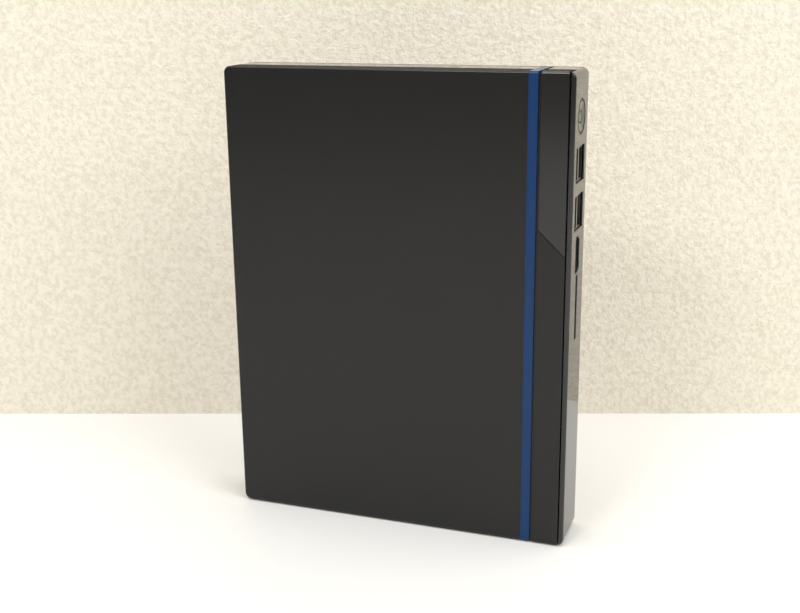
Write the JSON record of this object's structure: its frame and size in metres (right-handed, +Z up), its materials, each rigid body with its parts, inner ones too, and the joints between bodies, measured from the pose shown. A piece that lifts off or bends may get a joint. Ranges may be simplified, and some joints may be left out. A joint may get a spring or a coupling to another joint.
{
  "type": "external optical drive",
  "caption": "Slim upright black case with a tray-loading disc drive, stacked sockets, a card slit and a round power button on its narrow side.",
  "frame": {"origin": "centre of the bounding box's base, under the bottom pads", "axes": "+X towards the socket side panel, +Y from the front cover to the back cover, +Z up"},
  "size_m": [0.146, 0.0252, 0.193],
  "materials": {
    "matte_case": "satin",
    "gloss_case": "gloss",
    "accent_blue": "gloss",
    "rubber": "matte",
    "screw_steel": "satin",
    "sheet_steel": "satin",
    "socket_steel": "satin",
    "black_plastic": "matte",
    "white_plastic": "matte",
    "board_green": "satin",
    "chip_black": "matte",
    "can_metal": "satin",
    "ferrite": "matte",
    "contact_gold": "satin",
    "tray_plastic": "matte",
    "bezel_black": "gloss",
    "light_clear": "gloss",
    "film_white": "satin",
    "bright_rod": "polished",
    "sled_alloy": "matte",
    "lens_glass": "gloss",
    "turntable_black": "satin"
  },
  "bodies": {
    "case": {"front_cover": "matte_case", "back_cover": "matte_case", "side_frame": "gloss_case", "accent_strip": "accent_blue", "gloss_panel": "gloss_case", "bottom_pads": "rubber", "back_feet": "rubber", "case_screws": "screw_steel", "power_ring": "black_plastic", "power_switch": "black_plastic", "power_led": "light_clear", "main_board": "board_green", "board_screws": "screw_steel", "usb_shells": "socket_steel", "usb_tongues": "black_plastic", "video_shell": "socket_steel", "video_tongue": "black_plastic", "card_cage": "socket_steel", "card_contacts": "contact_gold", "upstream_shell": "socket_steel", "upstream_tongue": "white_plastic", "power_jack": "black_plastic", "power_jack_pin": "bright_rod", "control_chips": "chip_black", "capacitor_cans": "can_metal", "power_coils": "ferrite", "clock_crystals": "can_metal", "drive_base": "sheet_steel", "drive_lid": "sheet_steel", "drive_screws": "screw_steel", "rail_guides": "white_plastic", "drive_connector": "black_plastic", "board_connector": "black_plastic", "ribbon_cable": "film_white", "drive_bracket": "sheet_steel", "bracket_screws": "screw_steel"},
    "power_button": {"power_button": "gloss_case", "switch_plunger": "white_plastic"},
    "rails": {"tray_rails": "sheet_steel"},
    "tray": {"tray": "tray_plastic", "tray_bezel": "bezel_black", "eject_switch": "black_plastic", "tray_light": "light_clear", "latch_solenoid": "can_metal", "tray_board": "board_green", "tray_chips": "chip_black", "traverse_deck": "sheet_steel", "dampers": "rubber", "damper_screws": "screw_steel", "guide_rods": "bright_rod", "spindle_motor": "can_metal", "sled_motor": "can_metal"},
    "eject_button": {"eject_button": "bezel_black"},
    "spindle": {"turntable": "turntable_black", "clamp_claws": "bright_rod"},
    "sled": {"pickup_sled": "sled_alloy", "drive_nut": "white_plastic"},
    "lens": {"lens_holder": "black_plastic", "objective_lens": "lens_glass"},
    "lead_screw": {"lead_screw": "bright_rod"}
  },
  "joints": [
    {"name": "power_press", "type": "slide", "parent": "case", "child": "power_button", "axis": [-1, 0, 0], "range_m": [0, 0.0005], "stiffness_N_per_m": 2500},
    {"name": "tray_slide", "type": "slide", "parent": "case", "child": "tray", "axis": [-1, 0, 0], "range_m": [0, 0.125]},
    {"name": "rail_slide", "type": "slide", "parent": "case", "child": "rails", "axis": [-1, 0, 0], "range_m": [0, 0.0625]},
    {"name": "eject_press", "type": "slide", "parent": "tray", "child": "eject_button", "axis": [1, 0, 0], "range_m": [0, 0.0005], "stiffness_N_per_m": 1500},
    {"name": "spindle_spin", "type": "hinge", "parent": "tray", "child": "spindle", "pos_m": [-0.0095, 0, 0.069], "axis": [0, -1, 0], "continuous": true},
    {"name": "sled_slide", "type": "slide", "parent": "tray", "child": "sled", "axis": [-0.7071, 0, -0.7071], "range_m": [0, 0.034]},
    {"name": "lens_focus", "type": "slide", "parent": "sled", "child": "lens", "axis": [0, -1, 0], "range_m": [-0.0006, 0.0006], "stiffness_N_per_m": 40},
    {"name": "lead_screw_spin", "type": "hinge", "parent": "tray", "child": "lead_screw", "pos_m": [-0.02541, 0.0014, 0.08491], "axis": [-0.7071, 0, -0.7071], "range_deg": [0, 4082]}
  ],
  "couplings": [
    {"joint": "rail_slide", "follows": "tray_slide", "ratio": 0.5},
    {"joint": "lead_screw_spin", "follows": "sled_slide", "rad_per_m": 2094.4}
  ]
}
